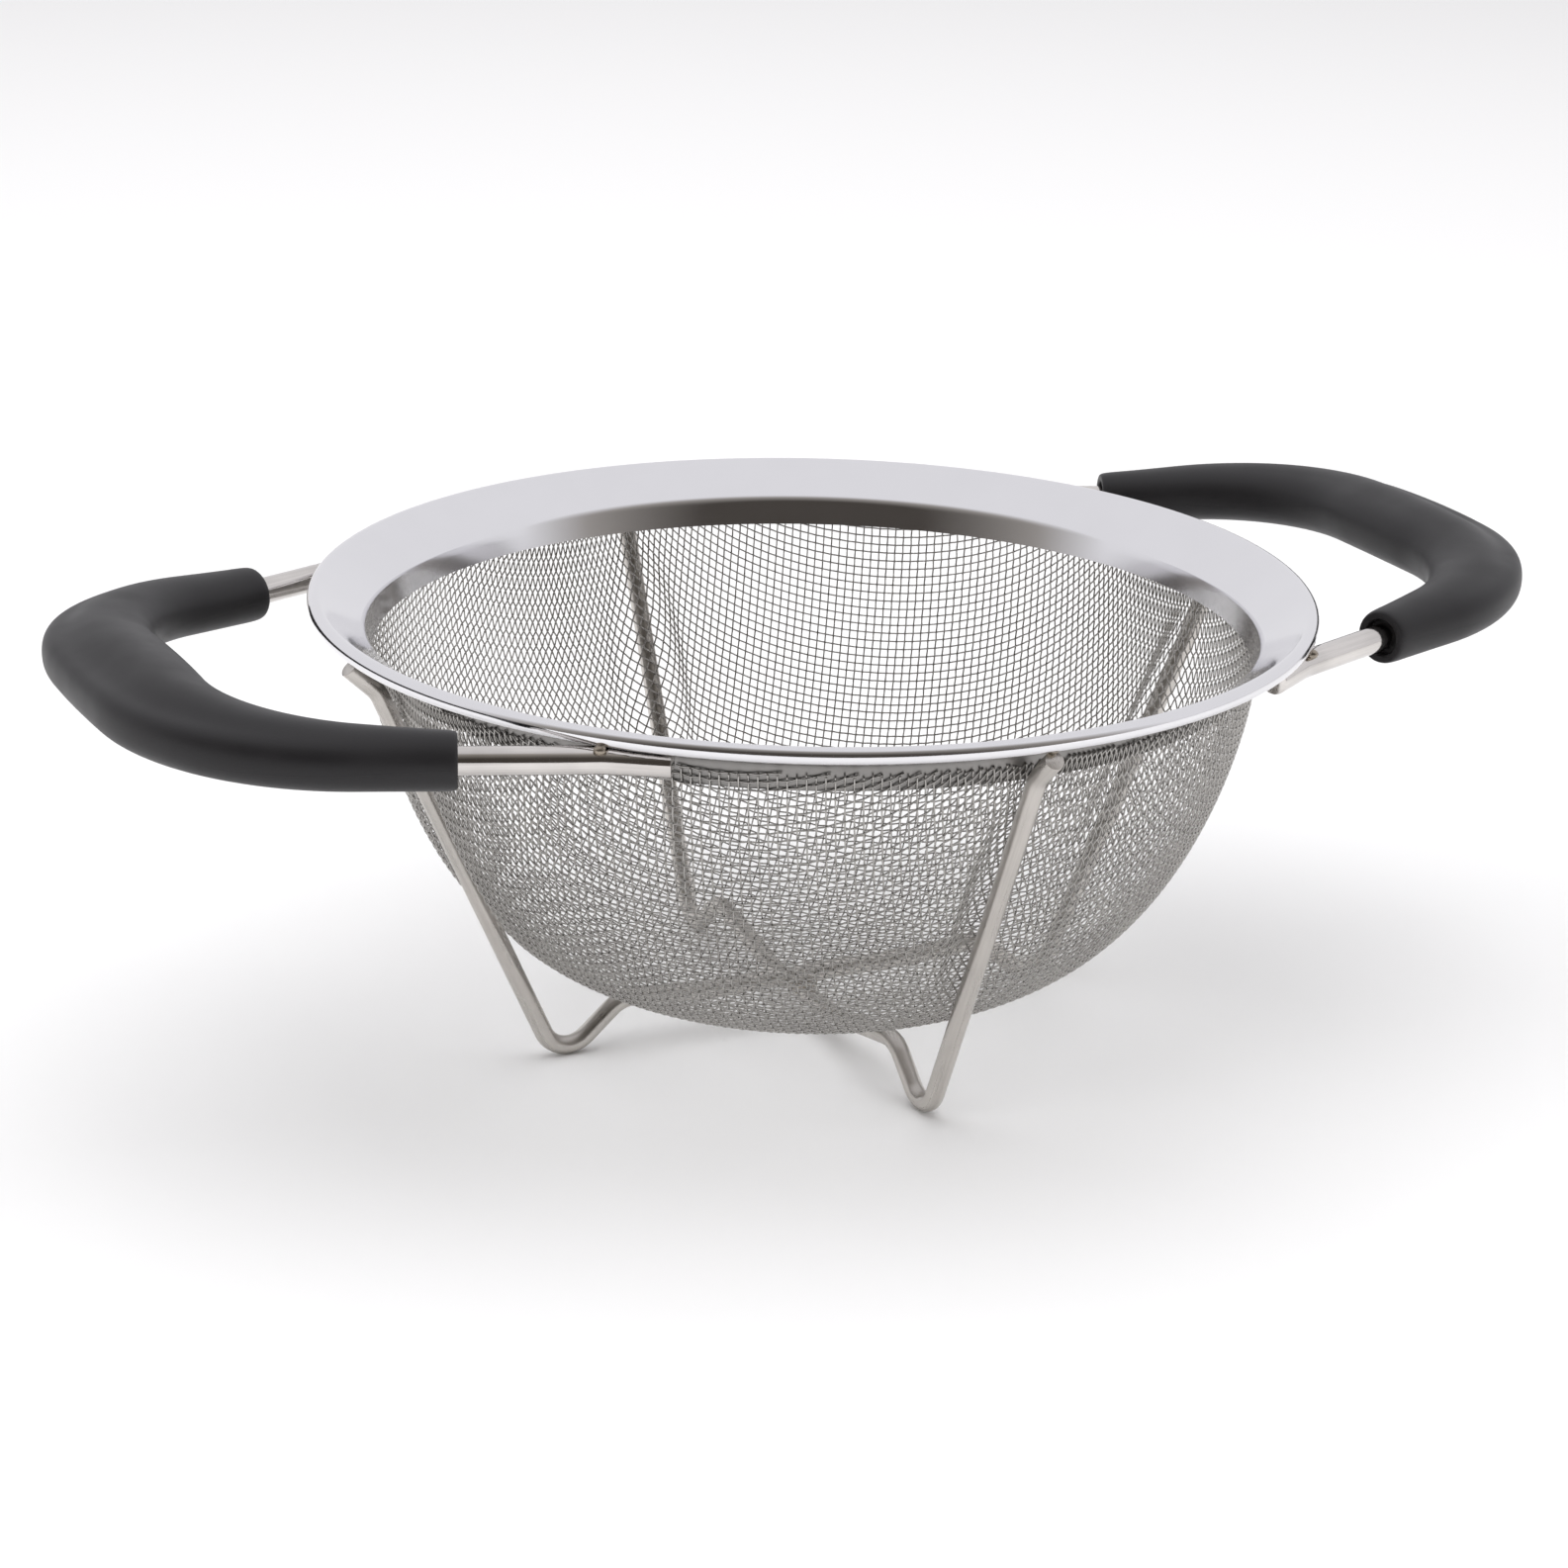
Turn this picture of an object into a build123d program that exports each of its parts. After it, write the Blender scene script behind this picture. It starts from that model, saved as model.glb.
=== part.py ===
from build123d import *
from math import acos, atan2, cos, pi, radians, sin, sqrt, tan
import os

# Footed mesh strainer. Millimetres, +Z up, origin on the table under the middle of the bowl.
# The two handles lie along X. One leg wire runs under the handles, the other across them.

# Driving dimensions: rim ring, one pressing of stainless sheet with a rolled outer edge
RIM_HEIGHT = 110.0          # table to the top of the rolled edge
RIM_DIAMETER = 240.0        # over the rolled edge
BEAD_DIAMETER = 3.9         # rolled edge
SHEET = 0.5                 # rim sheet
FLANGE_SLOPE = 35.0         # degrees, down towards the bowl
SHOULDER_RADIUS = 3.5       # bend between flange and collar, on the inside face
FLANGE_WIDTH = 14.0         # rolled edge to the inside face of the collar
COLLAR_TAPER = 14.0         # degrees, the collar narrows downwards
COLLAR_DEPTH = 14.3         # top of the rim to the collar's lower edge

# Driving dimensions: woven wire bowl
MESH_THICKNESS = 0.84       # two crossing wires
MESH_LAP = 4.4              # band of mesh that lies on the outside of the collar
BOWL_BOTTOM = 13.0          # table to the lowest point of the mesh
BOWL_SIDE_POWER = 1.45      # how early the side starts to fall inwards
BOWL_BASE_POWER = 3.8       # how square the base corner is
BOWL_STEPS = 14             # points along the bowl's profile
GROOVE_RADIUS = 14.0        # hollow that each leg presses into the mesh

# Driving dimensions: leg wires
LEG_WIRE = 4.5              # diameter
LEG_END_INSET = 2.6         # rolled edge to the centre of the cut end under it
LEG_KNEE_INSET = 9.5        # rolled edge to the bend under the rim
LEG_KNEE_DROP = 12.7        # top of the rim down to that bend
LEG_KNEE_BEND = 8.0
FOOT_RADIUS = 63.0          # radius of the point that stands on the table
FOOT_BEND = 7.0
LEG_RISE_INSET = 14.0       # from the foot in to the bend where the wire meets the bowl again
LEG_FLAT_RADIUS = 30.0      # where the upper wire turns level
CROSS_FLAT_RADIUS = 16.0    # where the wire that passes underneath turns level
LEG_RISE_BEND = 9.0
LEG_FLAT_BEND = 30.0
CONTACT_GAP = 0.1           # clearance where a wire lies against the mesh or rim

# Driving dimensions: handle wires
HANDLE_WIRE = 6.4           # diameter
HANDLE_REACH = 46.3         # rolled edge to the straight outer run of the wire
HANDLE_HALF_WIDTH = 47.5    # handle axis to the corner of the loop
HANDLE_CORNER = 45.0        # corner bend
HANDLE_SPREAD = 41.4        # degrees from the handle axis to the elbow under the rim
HANDLE_ELBOW_INSET = 2.7    # rolled edge to the elbow
HANDLE_ELBOW_BEND = 20.0
HANDLE_TAIL = 14.8          # elbow to the cut end
HANDLE_TAIL_TURN = 32.6     # degrees between the tail and the handle axis

# Driving dimensions: moulded grips
GRIP_START = 2.8            # rolled edge, along the handle axis, back to the start of the grip
GRIP_END_HALF = 6.6         # half width and half height at the ends
GRIP_MID_HALF_WIDTH = 13.9
GRIP_MID_HALF_HEIGHT = 9.2
GRIP_MID_OUTWARD = 2.8      # the palm swell is moved outwards
GRIP_MID_UPWARD = 4.0       # and upwards
GRIP_SWELL_POWER = 1.2
GRIP_STATIONS = 17
GRIP_END_ROUND = 2.6
GRIP_RECESS_RADIUS = 4.5    # ring-shaped recess round the wire in each end face
GRIP_RECESS_DEPTH = 2.0

LEG_WELD_RADIUS = 1.9       # weld nuggets at the leg wire ends
LEG_WELD_INSET = 1.4        # from the middle of the cut end, towards the bowl
HANDLE_WELD_RADIUS = 1.7    # weld nuggets beside the handle wires
HANDLE_WELD_SHIFT = 2.3     # from the middle of the wire, outwards
CROSS_WELD_RADIUS = 3.4     # weld nugget where the leg wires cross

# Derived sizes
RIM_RADIUS = RIM_DIAMETER / 2
BEAD_RADIUS = BEAD_DIAMETER / 2
BEAD_CENTRE = (RIM_RADIUS - BEAD_RADIUS, RIM_HEIGHT - BEAD_RADIUS)
BEAD_UNDERSIDE = RIM_HEIGHT - BEAD_DIAMETER
LEG_RADIUS = LEG_WIRE / 2
HANDLE_RADIUS = HANDLE_WIRE / 2
HANDLE_HEIGHT = BEAD_UNDERSIDE - HANDLE_RADIUS - CONTACT_GAP
COLLAR_FOOT = RIM_HEIGHT - COLLAR_DEPTH
COLLAR_TOP_RADIUS = RIM_RADIUS - FLANGE_WIDTH
LEG_END_RADIUS = RIM_RADIUS - LEG_END_INSET
LEG_KNEE = (RIM_RADIUS - LEG_KNEE_INSET, RIM_HEIGHT - LEG_KNEE_DROP)
LEG_RISE_RADIUS = FOOT_RADIUS - LEG_RISE_INSET


def flange_start():
    """Point where the flange's upper face leaves the rolled edge, tangent to it."""
    slope = radians(FLANGE_SLOPE)
    return (BEAD_CENTRE[0] - BEAD_RADIUS * sin(slope), BEAD_CENTRE[1] + BEAD_RADIUS * cos(slope))


def shoulder_corner():
    """Point where the flange's upper face and the collar's inner face would meet if sharp."""
    start = flange_start()
    slope = radians(FLANGE_SLOPE)
    lean = radians(COLLAR_TAPER)
    reach = SHOULDER_RADIUS * tan((pi / 2 - slope - lean) / 2)
    corner_radius = COLLAR_TOP_RADIUS + reach * sin(lean)
    return (corner_radius, start[1] - (start[0] - corner_radius) * tan(slope))


def collar_inner_radius(height):
    """Inside radius of the collar at a height."""
    corner = shoulder_corner()
    return corner[0] - (corner[1] - height) * tan(radians(COLLAR_TAPER))


def collar_outer_radius(height):
    """Outside radius of the collar at a height."""
    return collar_inner_radius(height) + SHEET / cos(radians(COLLAR_TAPER))


def rim_ring():
    """Pressed ring: collar, rounded shoulder, conical flange and rolled outer edge."""
    foot = (collar_inner_radius(COLLAR_FOOT), COLLAR_FOOT)
    inner_face = FilletPolyline(flange_start(), shoulder_corner(), foot, radius=SHOULDER_RADIUS)
    sheet = make_face(offset(inner_face, amount=SHEET, side=Side.LEFT))
    bead = Pos(*BEAD_CENTRE) * Circle(BEAD_RADIUS)
    return revolve(Plane.XZ * (sheet + bead), axis=Axis.Z)


def bowl_top_radius():
    """Outside radius of the mesh at the collar's lower edge."""
    return collar_outer_radius(COLLAR_FOOT) + MESH_THICKNESS


def bowl_point(turn, inset=0.0):
    """Radius and height on the mesh profile, from the collar (turn 0) to the centre (turn 1)."""
    angle = turn * pi / 2
    drop = sin(angle) ** (2 / BOWL_SIDE_POWER)
    reach = cos(angle) ** (2 / BOWL_BASE_POWER) if turn < 1 else 0.0
    depth = COLLAR_FOOT - BOWL_BOTTOM
    return (reach * (bowl_top_radius() - inset), COLLAR_FOOT - drop * (depth - inset))


def bowl_body(inset, lap_offset):
    """Solid of revolution inside the mesh surface, up to the top of the lap on the collar."""
    turns = [i / BOWL_STEPS for i in range(BOWL_STEPS + 1)]
    profile = [bowl_point(turn, inset) for turn in turns]
    lap_height = COLLAR_FOOT + MESH_LAP
    lap_corner = (collar_outer_radius(lap_height) + lap_offset, lap_height)
    outline = [
        Line((0, lap_height), lap_corner),
        Line(lap_corner, profile[0]),
        Spline(*profile, tangents=((0, -1), (-1, 0))),
        Line(profile[-1], (0, lap_height)),
    ]
    return revolve(Plane.XZ * make_face(outline), axis=Axis.Z)


def leg_groove(turn, radius):
    """Round bar along a leg's inner side; its surface is where the mesh is pressed to."""
    knee = Vector(LEG_KNEE[0], 0, LEG_KNEE[1])
    foot = leg_touch()
    way = Vector(foot[0], 0, foot[1]) - knee
    outward = Vector(-way.Z, 0, way.X).normalized()
    shift = GROOVE_RADIUS - LEG_RADIUS - CONTACT_GAP
    axis_start = knee + outward * shift - way * 0.1
    bar = Plane(axis_start, z_dir=way) * Cylinder(
        radius, way.length * 1.1, align=(Align.CENTER, Align.CENTER, Align.MIN)
    )
    return Rot(0, 0, turn) * bar


def sieve_bowl():
    """Woven bowl as a thin closed shell that laps the collar and gives way where the legs press on it."""
    outer = bowl_body(0.0, MESH_THICKNESS)
    inner = bowl_body(MESH_THICKNESS, 0.0)
    for turn in (0, 90, 180, 270):
        outer = outer - leg_groove(turn, GROOVE_RADIUS)
        inner = inner - leg_groove(turn, GROOVE_RADIUS + MESH_THICKNESS)
    return outer - inner


def tangent_point(point, centre, radius, side):
    """Where a line from point touches a circle; side is 1 or -1."""
    reach = sqrt((point[0] - centre[0]) ** 2 + (point[1] - centre[1]) ** 2)
    angle = atan2(point[1] - centre[1], point[0] - centre[0]) + side * acos(radius / reach)
    return (centre[0] + radius * cos(angle), centre[1] + radius * sin(angle))


def meeting_point(a, b, c, d):
    """Crossing of line a-b with line c-d."""
    cross = (b[0] - a[0]) * (d[1] - c[1]) - (b[1] - a[1]) * (d[0] - c[0])
    share = ((c[0] - a[0]) * (d[1] - c[1]) - (c[1] - a[1]) * (d[0] - c[0])) / cross
    return (a[0] + share * (b[0] - a[0]), a[1] + share * (b[1] - a[1]))


def leg_end_height():
    """Height of the cut end's centre, just touching the rolled edge from below."""
    side = BEAD_CENTRE[0] - LEG_END_RADIUS
    return BEAD_CENTRE[1] - sqrt((BEAD_RADIUS + LEG_RADIUS + CONTACT_GAP) ** 2 - side**2)


def leg_rise_height():
    """Height of the wire where it reaches the bowl."""
    drop = 1 - (LEG_RISE_RADIUS / bowl_top_radius()) ** BOWL_BASE_POWER
    mesh = COLLAR_FOOT - drop ** (1 / BOWL_SIDE_POWER) * (COLLAR_FOOT - BOWL_BOTTOM)
    return mesh - 1.65 * LEG_RADIUS


def leg_touch():
    """Where the straight leg runs into the foot bend, on the bend's outer side."""
    centre = (FOOT_RADIUS, LEG_RADIUS + FOOT_BEND)
    return tangent_point(LEG_KNEE, centre, FOOT_BEND, -1)


def leg_path(flat_radius, flat_height):
    """Centre line of a leg wire in the XZ plane, rim to foot to centre to foot to rim."""
    rise = (LEG_RISE_RADIUS, leg_rise_height())
    centre = (FOOT_RADIUS, LEG_RADIUS + FOOT_BEND)
    outer_touch = leg_touch()
    inner_touch = tangent_point(rise, centre, FOOT_BEND, 1)
    foot = meeting_point(LEG_KNEE, outer_touch, rise, inner_touch)
    half = [(LEG_END_RADIUS, leg_end_height()), LEG_KNEE, foot, rise, (flat_radius, flat_height)]
    other = [(-x, z) for x, z in reversed(half)]
    bends = [LEG_KNEE_BEND, FOOT_BEND, LEG_RISE_BEND, LEG_FLAT_BEND]
    return FilletPolyline(*half, *other, radius=bends + bends[::-1])


def leg_wire(flat_radius, flat_height, turn):
    """One bent wire that makes two legs; turn is its angle about Z."""
    path = Plane.XZ * leg_path(flat_radius, flat_height)
    section = Plane(path @ 0, z_dir=path % 0) * Circle(LEG_RADIUS)
    return Rot(0, 0, turn) * sweep(section, path=path)


def long_flat_height():
    """Centre height of the upper leg wire, which carries the bowl."""
    return BOWL_BOTTOM - LEG_RADIUS - CONTACT_GAP


def cross_flat_height():
    """Centre height of the lower leg wire, which passes under the upper one."""
    return long_flat_height() - LEG_WIRE - CONTACT_GAP


def handle_elbow():
    """Plan position of the bend under the rolled edge."""
    radius = RIM_RADIUS - HANDLE_ELBOW_INSET
    spread = radians(HANDLE_SPREAD)
    return (radius * cos(spread), radius * sin(spread))


def handle_corner():
    """Plan position of the loop's outer corner."""
    return (RIM_RADIUS + HANDLE_REACH, HANDLE_HALF_WIDTH)


def handle_path():
    """Centre line of a handle wire in plan, right-hand side."""
    elbow = handle_elbow()
    turn = radians(HANDLE_TAIL_TURN)
    end = (elbow[0] - HANDLE_TAIL * cos(turn), elbow[1] + HANDLE_TAIL * sin(turn))
    half = [end, elbow, handle_corner()]
    other = [(x, -y) for x, y in reversed(half)]
    bends = [HANDLE_ELBOW_BEND, HANDLE_CORNER, HANDLE_CORNER, HANDLE_ELBOW_BEND]
    return Pos(0, 0, HANDLE_HEIGHT) * FilletPolyline(*half, *other, radius=bends)


def handle_wire(turn):
    """Loop of thick wire whose two ends are welded under the rim."""
    path = handle_path()
    section = Plane(path @ 0, z_dir=path % 0) * Circle(HANDLE_RADIUS)
    return Rot(0, 0, turn) * sweep(section, path=path)


def grip_path():
    """The stretch of the handle wire that the grip covers."""
    elbow = handle_elbow()
    corner = handle_corner()
    start_x = RIM_RADIUS - GRIP_START
    slope = (corner[1] - elbow[1]) / (corner[0] - elbow[0])
    start = (start_x, elbow[1] + slope * (start_x - elbow[0]))
    half = [start, corner]
    other = [(x, -y) for x, y in reversed(half)]
    return Pos(0, 0, HANDLE_HEIGHT) * FilletPolyline(*half, *other, radius=HANDLE_CORNER)


def grip_section(path, share):
    """Oval slice of the grip at a share of its length, square to the wire."""
    swell = sin(pi * share) ** GRIP_SWELL_POWER
    along = path % share
    outward = Vector(-along.Y, along.X, 0)
    centre = path @ share + outward * GRIP_MID_OUTWARD * swell
    centre = centre + Vector(0, 0, GRIP_MID_UPWARD * swell)
    half_width = GRIP_END_HALF + (GRIP_MID_HALF_WIDTH - GRIP_END_HALF) * swell
    half_height = GRIP_END_HALF + (GRIP_MID_HALF_HEIGHT - GRIP_END_HALF) * swell
    return Plane(centre, x_dir=outward, z_dir=along) * Ellipse(half_width, half_height)


def handle_grip(turn):
    """Soft moulded grip: a tapered loop, thick in the palm, with the wire's bore through it."""
    path = grip_path()
    slices = [grip_section(path, i / (GRIP_STATIONS - 1)) for i in range(GRIP_STATIONS)]
    body = loft(slices)
    ends = body.faces().filter_by(GeomType.PLANE)
    body = fillet([edge for face in ends for edge in face.edges()], GRIP_END_ROUND)
    for share in (0, 1):
        inward = path % share * (1 - 2 * share)
        recess = Plane(path @ share, z_dir=inward) * Cylinder(GRIP_RECESS_RADIUS, 2 * GRIP_RECESS_DEPTH)
        body = body - recess
    body = body - handle_wire(0)
    return Rot(0, 0, turn) * body


def leg_welds(rim, wires):
    """Weld nuggets that join the four leg ends to the rolled edge."""
    height = (leg_end_height() + BEAD_CENTRE[1]) / 2
    radius = LEG_END_RADIUS - LEG_WELD_INSET
    nuggets = []
    for turn in (0, 90, 180, 270):
        nugget = Rot(0, 0, turn) * Pos(radius, 0, height) * Sphere(LEG_WELD_RADIUS)
        nuggets.append(trimmed(nugget, [rim] + wires))
    return Compound(children=nuggets)


def handle_welds(rim, wires):
    """Weld nuggets in the groove between each handle wire and the rolled edge."""
    elbow = handle_elbow()
    radius = RIM_RADIUS - HANDLE_ELBOW_INSET + HANDLE_WELD_SHIFT
    x = radius / (RIM_RADIUS - HANDLE_ELBOW_INSET) * elbow[0]
    y = radius / (RIM_RADIUS - HANDLE_ELBOW_INSET) * elbow[1]
    height = HANDLE_HEIGHT + HANDLE_RADIUS - HANDLE_WELD_RADIUS / 4
    nuggets = []
    for side_x in (1, -1):
        for side_y in (1, -1):
            nugget = Pos(side_x * x, side_y * y, height) * Sphere(HANDLE_WELD_RADIUS)
            nuggets.append(trimmed(nugget, [rim] + wires))
    return Compound(children=nuggets)


def crossing_weld(wires):
    """Weld nugget between the two leg wires under the middle of the bowl."""
    height = (long_flat_height() + cross_flat_height()) / 2
    return trimmed(Pos(0, 0, height) * Sphere(CROSS_WELD_RADIUS), wires)


def trimmed(nugget, others):
    """A nugget cut away where the other pieces are; the largest remaining solid."""
    for other in others:
        nugget = nugget - other
    return max(nugget.solids(), key=lambda solid: solid.volume)


os.makedirs("parts", exist_ok=True)
rim = rim_ring()
long_leg = leg_wire(LEG_FLAT_RADIUS, long_flat_height(), 0)
cross_leg = leg_wire(CROSS_FLAT_RADIUS, cross_flat_height(), 90)
right_wire = handle_wire(0)
left_wire = handle_wire(180)
pieces = {
    "rim_ring": rim,
    "sieve_bowl": sieve_bowl(),
    "leg_wire_long": long_leg,
    "leg_wire_cross": cross_leg,
    "handle_wire_right": right_wire,
    "handle_wire_left": left_wire,
    "handle_grip_right": handle_grip(0),
    "handle_grip_left": handle_grip(180),
    "leg_welds": leg_welds(rim, [long_leg, cross_leg]),
    "handle_welds": handle_welds(rim, [right_wire, left_wire]),
    "crossing_weld": crossing_weld([long_leg, cross_leg]),
}
for name, piece in pieces.items():
    export_step(piece, f"parts/{name}.step")
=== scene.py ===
import math
import bpy
import numpy as np
from mathutils import Matrix, Vector, noise


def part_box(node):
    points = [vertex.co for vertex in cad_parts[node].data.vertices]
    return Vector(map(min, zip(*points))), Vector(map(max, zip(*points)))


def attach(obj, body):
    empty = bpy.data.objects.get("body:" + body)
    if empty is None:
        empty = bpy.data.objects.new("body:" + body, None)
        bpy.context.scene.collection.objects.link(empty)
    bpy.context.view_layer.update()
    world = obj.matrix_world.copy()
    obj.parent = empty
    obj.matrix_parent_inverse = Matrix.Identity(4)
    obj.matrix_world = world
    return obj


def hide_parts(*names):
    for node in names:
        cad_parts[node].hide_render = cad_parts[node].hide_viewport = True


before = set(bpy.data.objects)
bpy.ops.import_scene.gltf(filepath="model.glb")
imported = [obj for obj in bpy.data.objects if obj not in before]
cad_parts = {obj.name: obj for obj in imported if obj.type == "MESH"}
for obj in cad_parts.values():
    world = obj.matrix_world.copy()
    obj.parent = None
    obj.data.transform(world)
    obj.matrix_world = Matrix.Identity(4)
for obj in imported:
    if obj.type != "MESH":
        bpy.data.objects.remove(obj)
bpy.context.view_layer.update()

# Camera. It stands in front of the strainer, a little to the left of its cross axis, and looks down
# on the rim with a long lens, about a metre away.
heading = math.radians(26.3)
pitch = math.radians(19.43)
roll = math.radians(1.3)
level = math.cos(pitch)
forward = Vector((math.sin(heading) * level, math.cos(heading) * level, -math.sin(pitch)))
level_right = forward.cross(Vector((0, 0, 1))).normalized()
level_up = level_right.cross(forward)
right = level_right * math.cos(roll) + level_up * math.sin(roll)
up = level_up * math.cos(roll) - level_right * math.sin(roll)
camera_data = bpy.data.cameras.new("camera")
camera_data.lens = 94.8
camera_data.sensor_width = 36.0
camera = bpy.data.objects.new("camera", camera_data)
camera.matrix_world = Matrix((right, up, -forward)).transposed().to_4x4()
camera.location = (-0.4232, -0.8428, 0.3926)
bpy.context.scene.collection.objects.link(camera)
bpy.context.scene.camera = camera
bpy.context.scene.view_settings.view_transform = "Standard"

# Studio. A pale floor and a soft white surround that darkens on the camera's side of the room, so that
# the steel has something to mirror, with two softboxes in front and a wide one overhead. The steel
# mirrors only the surround, never the softboxes.
bpy.ops.object.select_all(action="DESELECT")
bpy.ops.mesh.primitive_circle_add(vertices=96, radius=6.0, fill_type="NGON")
floor = bpy.context.object
floor.name = "studio_floor"
floor_paper = bpy.data.materials.new("pale_paper")
floor_paper.use_nodes = True
paper = floor_paper.node_tree.nodes["Principled BSDF"]
paper.inputs["Base Color"].default_value = (0.93, 0.93, 0.93, 1)
paper.inputs["Roughness"].default_value = 0.9
paper.inputs["Specular IOR Level"].default_value = 0.0
floor.data.materials.append(floor_paper)

surround = bpy.data.worlds.new("studio")
bpy.context.scene.world = surround
surround.use_nodes = True
room = surround.node_tree
room_place = room.nodes.new("ShaderNodeTexCoord")
room_side = room.nodes.new("ShaderNodeVectorMath")
room_side.operation = "DOT_PRODUCT"
room_side.inputs[1].default_value = (-math.sin(heading), -math.cos(heading), 0)
room_ramp = room.nodes.new("ShaderNodeValToRGB")
room_ramp.color_ramp.elements[0].position = 0.10
room_ramp.color_ramp.elements[0].color = (0.86, 0.855, 0.88, 1)
room_ramp.color_ramp.elements[1].position = 0.85
room_ramp.color_ramp.elements[1].color = (0.07, 0.062, 0.055, 1)
room_edge = room_ramp.color_ramp.elements.new(0.45)
room_edge.color = (0.34, 0.32, 0.30, 1)
room.links.new(room_place.outputs["Generated"], room_side.inputs[0])
room.links.new(room_side.outputs["Value"], room_ramp.inputs["Fac"])
room.links.new(room_ramp.outputs["Color"], room.nodes["Background"].inputs["Color"])


def soft_light(name, place, width, height, power):
    """A rectangular softbox that faces the middle of the strainer."""
    panel = bpy.data.lights.new(name, "AREA")
    panel.shape = "RECTANGLE"
    panel.size = width
    panel.size_y = height
    panel.energy = power
    lamp = bpy.data.objects.new(name, panel)
    lamp.location = place
    lamp.rotation_euler = (Vector((0, 0, 0.06)) - Vector(place)).to_track_quat("-Z", "Y").to_euler()
    lamp.visible_glossy = False
    bpy.context.scene.collection.objects.link(lamp)


soft_light("overhead_softbox", (0.0, 0.1, 1.8), 2.4, 2.4, 24)
soft_light("left_softbox", (-1.7, -0.35, 0.7), 0.9, 1.2, 7)
soft_light("right_softbox", (0.75, -1.25, 0.35), 0.35, 0.7, 3)


def steel(name, tint, roughness, grain_scale, grain_depth, cloud=0.12):
    """Stainless steel: fine grain stretched as grain_scale says, soft clouding, varied roughness."""
    metal = bpy.data.materials.new(name)
    metal.use_nodes = True
    tree = metal.node_tree
    shader = tree.nodes["Principled BSDF"]
    shader.inputs["Metallic"].default_value = 1.0
    place = tree.nodes.new("ShaderNodeTexCoord")
    stretch = tree.nodes.new("ShaderNodeMapping")
    stretch.inputs["Scale"].default_value = grain_scale
    tree.links.new(place.outputs["Object"], stretch.inputs["Vector"])
    grain = tree.nodes.new("ShaderNodeTexNoise")
    grain.inputs["Scale"].default_value = 1.0
    grain.inputs["Detail"].default_value = 4.0
    tree.links.new(stretch.outputs["Vector"], grain.inputs["Vector"])
    clouding = tree.nodes.new("ShaderNodeTexNoise")
    clouding.inputs["Scale"].default_value = 60.0
    clouding.inputs["Detail"].default_value = 3.0
    tree.links.new(place.outputs["Object"], clouding.inputs["Vector"])
    shade = tree.nodes.new("ShaderNodeValToRGB")
    darker = [channel * (1 - 2 * cloud) for channel in tint]
    shade.color_ramp.elements[0].position = 0.3
    shade.color_ramp.elements[0].color = (*darker, 1)
    shade.color_ramp.elements[1].position = 0.6
    shade.color_ramp.elements[1].color = (*tint, 1)
    blend = tree.nodes.new("ShaderNodeMath")
    blend.operation = "ADD"
    halve = tree.nodes.new("ShaderNodeMath")
    halve.operation = "MULTIPLY"
    halve.inputs[1].default_value = 0.5
    tree.links.new(grain.outputs["Fac"], blend.inputs[0])
    tree.links.new(clouding.outputs["Fac"], blend.inputs[1])
    tree.links.new(blend.outputs[0], halve.inputs[0])
    tree.links.new(halve.outputs[0], shade.inputs["Fac"])
    tree.links.new(shade.outputs["Color"], shader.inputs["Base Color"])
    rough = tree.nodes.new("ShaderNodeMapRange")
    rough.inputs["From Min"].default_value = 0.3
    rough.inputs["From Max"].default_value = 0.7
    rough.inputs["To Min"].default_value = roughness * 0.75
    rough.inputs["To Max"].default_value = roughness * 1.25
    tree.links.new(halve.outputs[0], rough.inputs["Value"])
    tree.links.new(rough.outputs["Result"], shader.inputs["Roughness"])
    bump = tree.nodes.new("ShaderNodeBump")
    bump.inputs["Strength"].default_value = 1.0
    bump.inputs["Distance"].default_value = grain_depth
    tree.links.new(grain.outputs["Fac"], bump.inputs["Height"])
    tree.links.new(bump.outputs["Normal"], shader.inputs["Normal"])
    return metal


def finish_piece(piece, material, slot, *nodes):
    """Gives a new piece its material, hangs it on the root body and hides the CAD parts it stands for; the
    slot is not used.
    """
    if piece.data.materials:
        piece.data.materials[0] = material
    else:
        piece.data.materials.append(material)
    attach(piece, "root")
    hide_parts(*nodes)


# Rim ring. One pressing of half-millimetre stainless sheet: a short collar that the mesh is fixed to,
# a rounded shoulder, a wide flange that slopes to the bowl, and an edge rolled into a hollow bead.
sheet = 0.0005
bead_radius = 0.00195
flange_slope = math.radians(35.0)
collar_taper = math.radians(14.0)
collar_depth = 0.0143
flange_width = 0.014
shoulder_radius = 0.0035
rim_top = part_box("rim_ring")[1][2]
rim_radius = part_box("rim_ring")[1][0]
bead_centre = Vector((rim_radius - bead_radius, 0, rim_top - bead_radius))
flange_outer = bead_centre + bead_radius * Vector((-math.sin(flange_slope), 0, math.cos(flange_slope)))
shoulder_reach = shoulder_radius * math.tan((math.pi / 2 - flange_slope - collar_taper) / 2)
corner_x = rim_radius - flange_width + shoulder_reach * math.sin(collar_taper)
corner = Vector((corner_x, 0, flange_outer.z - (flange_outer.x - corner_x) * math.tan(flange_slope)))
flange_way = Vector((math.cos(flange_slope), 0, math.sin(flange_slope)))
collar_way = Vector((-math.sin(collar_taper), 0, -math.cos(collar_taper)))
collar_foot_z = rim_top - collar_depth
collar_foot = corner + collar_way * ((corner.z - collar_foot_z) / math.cos(collar_taper))

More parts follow.
